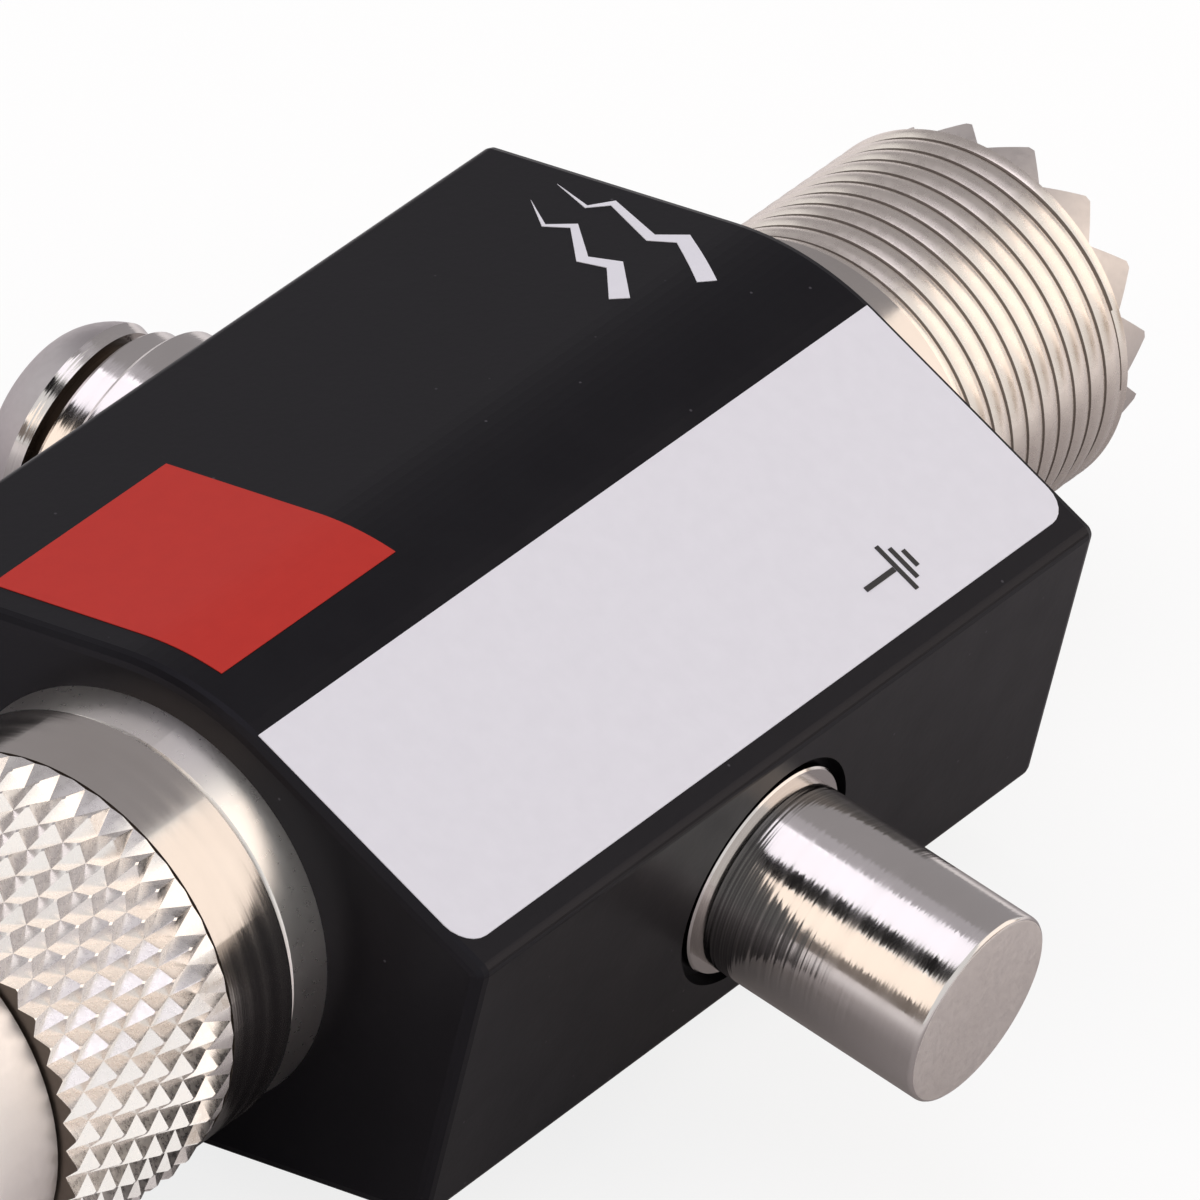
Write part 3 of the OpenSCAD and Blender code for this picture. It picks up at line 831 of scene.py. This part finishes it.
# %% Laying ink on the roof
INK_T = 0.03
RIDGE_R = 12.0
SIDE_H = 12.7
PEAK_H = 22.0
half_w = -housing_low.y / MM
slope = math.atan((PEAK_H - SIDE_H) / 2 / half_w)
ridge_centre = PEAK_H / 2 - RIDGE_R / math.cos(slope)
ridge_half = RIDGE_R * math.sin(slope)
STRIP_MM = 0.4


def roof(y):
    """Height of the roof at a distance from the ridge."""
    if abs(y) < ridge_half:
        return ridge_centre + math.sqrt(RIDGE_R ** 2 - y ** 2)
    return PEAK_H / 2 - abs(y) * math.tan(slope)


def ink_film(name, outlines, finish, under=0.0):
    """Lays closed outlines of x and y in mm on the roof as one thin film."""
    shape = bmesh.new()
    for outline in outlines:
        shape.faces.new([shape.verts.new((x, y, 0)) for x, y in outline])
    bmesh.ops.triangulate(shape, faces=shape.faces)
    strips = int(ridge_half / STRIP_MM) + 1
    for i in range(-strips, strips + 1):
        everything = list(shape.verts) + list(shape.edges) + list(shape.faces)
        bmesh.ops.bisect_plane(shape, geom=everything, plane_co=(0, i * STRIP_MM, 0), plane_no=(0, 1, 0))
    bmesh.ops.recalc_face_normals(shape, faces=shape.faces)
    top = bmesh.ops.extrude_face_region(shape, geom=list(shape.faces))["geom"]
    raised = {v for v in top if isinstance(v, bmesh.types.BMVert)}
    for vert in shape.verts:
        lift = under + (INK_T if vert in raised else -INK_T / 2)
        vert.co = Vector((vert.co.x, vert.co.y, roof(vert.co.y) + lift)) * MM
    bmesh.ops.recalc_face_normals(shape, faces=shape.faces)
    mesh = bpy.data.meshes.new(name)
    shape.to_mesh(mesh)
    shape.free()
    mesh.materials.append(finish)
    film = bpy.data.objects.new(name, mesh)
    bpy.context.scene.collection.objects.link(film)
    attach(film, "body")
    print(name, "faces:", len(mesh.polygons))


# %% [markdown]
# The silver field runs nearly the whole length of the housing. Its corners at the front edge are
# rounded, and those at the ridge are square. The red field is a plain rectangle that ends at the
# ridge.

# %% Fields of ink
FIELD_X = (-39.6, -0.45)
FIELD_Y = (-14.0, -3.1)
FIELD_CORNER = 1.2
RED_X = (-38.3, -27.4)
RED_Y = (-0.2, 10.5)


def round_corner(x, y, first_deg):
    """Points of a quarter circle about x and y."""
    steps = [math.radians(first_deg + 15 * i) for i in range(7)]
    return [(x + FIELD_CORNER * math.cos(a), y + FIELD_CORNER * math.sin(a)) for a in steps]


field = [(FIELD_X[1], FIELD_Y[1]), (FIELD_X[0], FIELD_Y[1])]
field += round_corner(FIELD_X[0] + FIELD_CORNER, FIELD_Y[0] + FIELD_CORNER, 180)
field += round_corner(FIELD_X[1] - FIELD_CORNER, FIELD_Y[0] + FIELD_CORNER, 270)
ink_film("silver_field", [field], silver_ink)
red_corners = [(RED_X[0], RED_Y[0]), (RED_X[1], RED_Y[0]), (RED_X[1], RED_Y[1]), (RED_X[0], RED_Y[1])]
ink_film("red_field", [red_corners], red_ink)

# %% [markdown]
# Two zigzag flashes and an earth sign are common marks on such a part. A flash is a zigzag stroke
# that starts as a point and widens to its foot. Its outline is worked out from the middle line: at
# each bend the two edges are set off along the bisector, so that the bends are mitred.

# %% Flashes and earth sign
FLASH_FOOT_W = 0.8
FLASH_ROUTES = (
    ((-3.1, 11.1), (-4.5, 9.5), (-3.9, 8.5), (-5.9, 6.7), (-5.6, 5.4), (-7.7, 3.7)),
    ((-1.5, 11.0), (-2.4, 9.0), (-1.6, 8.3), (-3.1, 5.5), (-2.5, 4.4), (-4.6, 1.8)),
)
EARTH_AT = (-9.4, -11.9)
EARTH_LINE_W = 0.22
EARTH_STEM_L = 1.9
EARTH_STEM_BACK = 1.1
EARTH_BAR_L = 2.2
EARTH_BAR_LESS = 0.7
EARTH_BAR_STEP = 0.45
EARTH_BARS = 3


def flash(route):
    """Outline of a zigzag stroke that widens along its route, with mitred bends."""
    corners = [Vector(corner) for corner in route]
    strokes = [(b - a).normalized() for a, b in zip(corners, corners[1:])]
    left, right = [], []
    for i, corner in enumerate(corners[1:], start=1):
        before = strokes[i - 1]
        after = strokes[min(i, len(strokes) - 1)]
        along = (before + after).normalized()
        side = Vector((-along.y, along.x))
        mitre = side.dot(Vector((-before.y, before.x)))
        reach = side * FLASH_FOOT_W * i / len(strokes) / 2 / mitre
        left.append(tuple(corner + reach))
        right.append(tuple(corner - reach))
    return [route[0]] + left + right[::-1]


def plate(x, y, length, width):
    """Corners of a rectangle about x and y, with its length along y."""
    return [(x - width / 2, y - length / 2), (x + width / 2, y - length / 2),
            (x + width / 2, y + length / 2), (x - width / 2, y + length / 2)]


ink_film("flash_mark", [flash(route) for route in FLASH_ROUTES], silver_ink)
earth_x, earth_y = EARTH_AT
earth_lines = [plate(earth_x - EARTH_STEM_BACK, earth_y, EARTH_LINE_W, EARTH_STEM_L)]
for i in range(EARTH_BARS):
    bar_l = EARTH_BAR_L - EARTH_BAR_LESS * i
    earth_lines.append(plate(earth_x + EARTH_BAR_STEP * i, earth_y, bar_l, EARTH_LINE_W))
ink_film("earth_sign", earth_lines, black_ink, under=INK_T)

# %% [markdown]
# ## Floor and world
#
# The part lies on a white sweep. Its floor is white to the camera, to reflections and through clear
# material, and keeps a soft share of the part's shadow. The world behind it is white in the same
# way, and lights the part evenly from all round.

# %% Floor
FLOOR_HALF = 2.0
SHADOW_SHARE = 0.18


def seen_as_backdrop(tree):
    """A factor of 1 for camera, glossy and transmission rays."""
    path = add(tree, "ShaderNodeLightPath")
    first = add(tree, "ShaderNodeMath",
                {0: path.outputs["Is Camera Ray"], 1: path.outputs["Is Glossy Ray"]}, operation="MAXIMUM")
    both = add(tree, "ShaderNodeMath",
               {0: first.outputs[0], 1: path.outputs["Is Transmission Ray"]}, operation="MAXIMUM")
    return both.outputs[0]


def stage_sheet(name, quads, material):
    """A sheet of the set, made of four-cornered faces."""
    points = [point for quad in quads for point in quad]
    mesh = bpy.data.meshes.new(name)
    mesh.from_pydata(points, [], [range(4 * i, 4 * i + 4) for i in range(len(quads))])
    mesh.materials.append(material)
    sheet = bpy.data.objects.new(name, mesh)
    bpy.context.scene.collection.objects.link(sheet)
    return sheet


def level_square(half, z):
    """Corners of a level square about the origin."""
    return [(-half, -half, z), (half, -half, z), (half, half, z), (-half, half, z)]


white_sweep = bpy.data.materials.new("white_sweep")
white_sweep.use_nodes = True
tree = white_sweep.node_tree
tree.nodes.clear()
paper = add(tree, "ShaderNodeBsdfDiffuse", {"Color": linear("#f6f6f6")})
glow = add(tree, "ShaderNodeEmission", {"Color": linear("#ffffff"), "Strength": 1.0})
backdrop = add(tree, "ShaderNodeMixShader", {0: 1 - SHADOW_SHARE, 1: paper.outputs[0], 2: glow.outputs[0]})
sweep = add(tree, "ShaderNodeMixShader",
            {0: seen_as_backdrop(tree), 1: paper.outputs[0], 2: backdrop.outputs[0]})
add(tree, "ShaderNodeOutputMaterial", {"Surface": sweep.outputs[0]})
floor_z = cad_box[0].z
stage_sheet("floor", [level_square(FLOOR_HALF, floor_z)], white_sweep)
print("floor at z in mm:", round(floor_z / MM, 2))

# %% World
AMBIENT = 0.55
world = bpy.data.worlds.new("studio")
world.use_nodes = True
bpy.context.scene.world = world
tree = world.node_tree
tree.nodes.clear()
ambient = add(tree, "ShaderNodeBackground", {"Color": linear("#ffffff"), "Strength": AMBIENT})
white = add(tree, "ShaderNodeBackground", {"Color": linear("#ffffff"), "Strength": 1.0})
sky = add(tree, "ShaderNodeMixShader",
          {0: seen_as_backdrop(tree), 1: ambient.outputs[0], 2: white.outputs[0]})
add(tree, "ShaderNodeOutputWorld", {"Surface": sky.outputs[0]})
bpy.context.scene.view_settings.view_transform = "Standard"
print("ambient light:", AMBIENT)

# %% [markdown]
# ## Cards
#
# All white round about would leave bright metal without form and black paint grey. A photographer
# hangs grey and black cards outside the picture, so that dark tones run along the metal. The cards
# here show in reflections only: a grey cove beyond the socket, a black strip between two softboxes,
# a lighter strip that softens one of them, a grey strip under the other, and a low warm card in front.

# %% Cards for the reflections
AIM = Vector(CROSS_POINT)
SKEW = math.radians(28)
COVE_R = 0.6
COVE_Y = (-0.05, 1.0)
COVE_FROM = 5
COVE_STEP = 8
COVE_STEPS = 11


def towards(roll_deg, lean):
    """A direction: degrees from +Z towards +X, leaning towards +Y by this much."""
    flat = math.sqrt(1 - lean ** 2)
    roll = math.radians(roll_deg)
    return Vector((flat * math.sin(roll), lean, flat * math.cos(roll)))


def facing(direction, skew):
    """Turns a card or lamp to look back along a direction, with its long side near Y."""
    long_side = (Vector(Y_AXIS) - direction * direction.y).normalized()
    short_side = long_side.cross(direction)
    axes = Matrix((short_side, long_side, direction)).transposed()
    return axes @ Matrix.Rotation(skew, 3, "Z")


def reflected_only(sheet):
    """Hides a card from everything but reflections."""
    sheet.visible_camera = False
    sheet.visible_diffuse = False
    sheet.visible_transmission = False
    sheet.visible_shadow = False


def card(name, quads, hex_colour):
    """An even card that shows in reflections as it is written."""
    material = bpy.data.materials.new(name + "_paint")
    material.use_nodes = True
    tree = material.node_tree
    tree.nodes.clear()
    even = add(tree, "ShaderNodeEmission", {"Color": linear(hex_colour), "Strength": 1.0})
    add(tree, "ShaderNodeOutputMaterial", {"Surface": even.outputs[0]})
    reflected_only(stage_sheet(name, quads, material))


def flat_card(name, roll_deg, lean, distance, size, skew, hex_colour):
    """A flat card in a direction from the part, turned to face it."""
    direction = towards(roll_deg, lean)
    axes = facing(direction, skew)
    half_w, half_h = size[0] / 2, size[1] / 2
    corners = [(-half_w, -half_h, 0), (half_w, -half_h, 0), (half_w, half_h, 0), (-half_w, half_h, 0)]
    card(name, [[AIM + direction * distance + axes @ Vector(corner) for corner in corners]], hex_colour)


def cove_edge(roll_deg):
    """Both ends of the cove at one angle from straight up."""
    roll = math.radians(roll_deg)
    return [AIM + Vector((COVE_R * math.sin(roll), y, COVE_R * math.cos(roll))) for y in COVE_Y]


cove_quads = []
for i in range(COVE_STEPS):
    low = cove_edge(COVE_FROM + COVE_STEP * i)
    high = cove_edge(COVE_FROM + COVE_STEP * (i + 1))
    cove_quads.append([low[0], low[1], high[1], high[0]])
card("grey_cove", cove_quads, "#a9a6a9")
flat_card("black_strip", -41, 0.37, 0.40, (0.12, 0.6), SKEW, "#201f20")
flat_card("half_tone", 14, 0.37, 0.47, (0.14, 0.45), SKEW, "#c6c3c9")
flat_card("grey_strip", -90, 0.37, 0.47, (0.14, 0.6), SKEW, "#8a807a")
flat_card("warm_card", 80, -0.71, 0.55, (0.22, 0.5), 0, "#c0b2a7")

# %% [markdown]
# ## Lamps
#
# Bright metal shows its lamps, so they are placed by what the metal reflects: a cool softbox above
# and a warm one beyond the plug draw the two streaks along the cap, and a third before the socket
# draws the highlight on everything that is round about the coax line. A lamp's brightness in a
# reflection is its power divided by four times its area, so each lamp is written as that brightness
# and its size, and its power follows. Reflections pass through a lamp, so each one has a dark back,
# or the white world behind it would be added to its own light.

# %% Softboxes
LAMP_DISTANCE = 0.45
LAMP_BACK = 0.46


def softbox(name, roll_deg, lean, size, brightness, hex_colour):
    """A lamp that looks this bright in a reflection, with its dark back."""
    light = bpy.data.lights.new(name, "AREA")
    light.shape = "RECTANGLE"
    light.size, light.size_y = size
    light.color = linear(hex_colour)[:3]
    light.energy = brightness * 4 * size[0] * size[1]
    lamp = bpy.data.objects.new(name, light)
    direction = towards(roll_deg, lean)
    place = Matrix.Translation(AIM + direction * LAMP_DISTANCE)
    lamp.matrix_world = place @ facing(direction, SKEW).to_4x4()
    bpy.context.scene.collection.objects.link(lamp)
    flat_card(name + "_back", roll_deg, lean, LAMP_BACK, size, SKEW, "#1b1a1b")
    print(name, "power in W:", round(light.energy, 2))


softbox("cool_softbox", -10, 0.37, (0.28, 0.45), 1.4, "#f4f1fb")
softbox("warm_softbox", -67, 0.37, (0.23, 0.45), 1.3, "#fff0e2")
softbox("front_softbox", 50, -0.50, (0.46, 0.38), 1.3, "#fff3e9")

# %% [markdown]
# ## Table
#
# Low reflections show the table. A sheet just above the floor, seen only in reflections, takes the
# part's shadow. It is white with a wide grey spot round the housing, painted shade of the part on
# the table, which keeps the coat black.

# %% Table sheet
TABLE_HALF = 0.8
TABLE_LIFT = 0.05 * MM
PAINTED_SHADE_AT = Vector((-0.010, -0.020, floor_z))
PAINTED_SHADE_REACH = (0.020, 0.09)

table_cloth_with_painted_shade = bpy.data.materials.new("table_cloth_with_painted_shade")
table_cloth_with_painted_shade.use_nodes = True
tree = table_cloth_with_painted_shade.node_tree
tree.nodes.clear()
here = add(tree, "ShaderNodeTexCoord").outputs["Object"]
reach = add(tree, "ShaderNodeVectorMath", {0: here, 1: PAINTED_SHADE_AT}, operation="DISTANCE")
share = add(tree, "ShaderNodeMapRange",
            {"Value": reach.outputs["Value"], "From Min": PAINTED_SHADE_REACH[0], "From Max": PAINTED_SHADE_REACH[1]},
            interpolation_type="SMOOTHSTEP")
# The grey near the part is painted shade; the cloth turns white further out.
tone = add(tree, "ShaderNodeMix",
           {"Factor": share.outputs["Result"], "A": linear("#a8a4a6"), "B": linear("#f1eff1")},
           data_type="RGBA")
cloth = add(tree, "ShaderNodeBsdfDiffuse", {"Color": tone.outputs["Result"]})
add(tree, "ShaderNodeOutputMaterial", {"Surface": cloth.outputs[0]})
reflected_only(stage_sheet("table_sheet", [level_square(TABLE_HALF, floor_z + TABLE_LIFT)], table_cloth_with_painted_shade))
print("grey spot reach in mm:", PAINTED_SHADE_REACH[1] / MM)
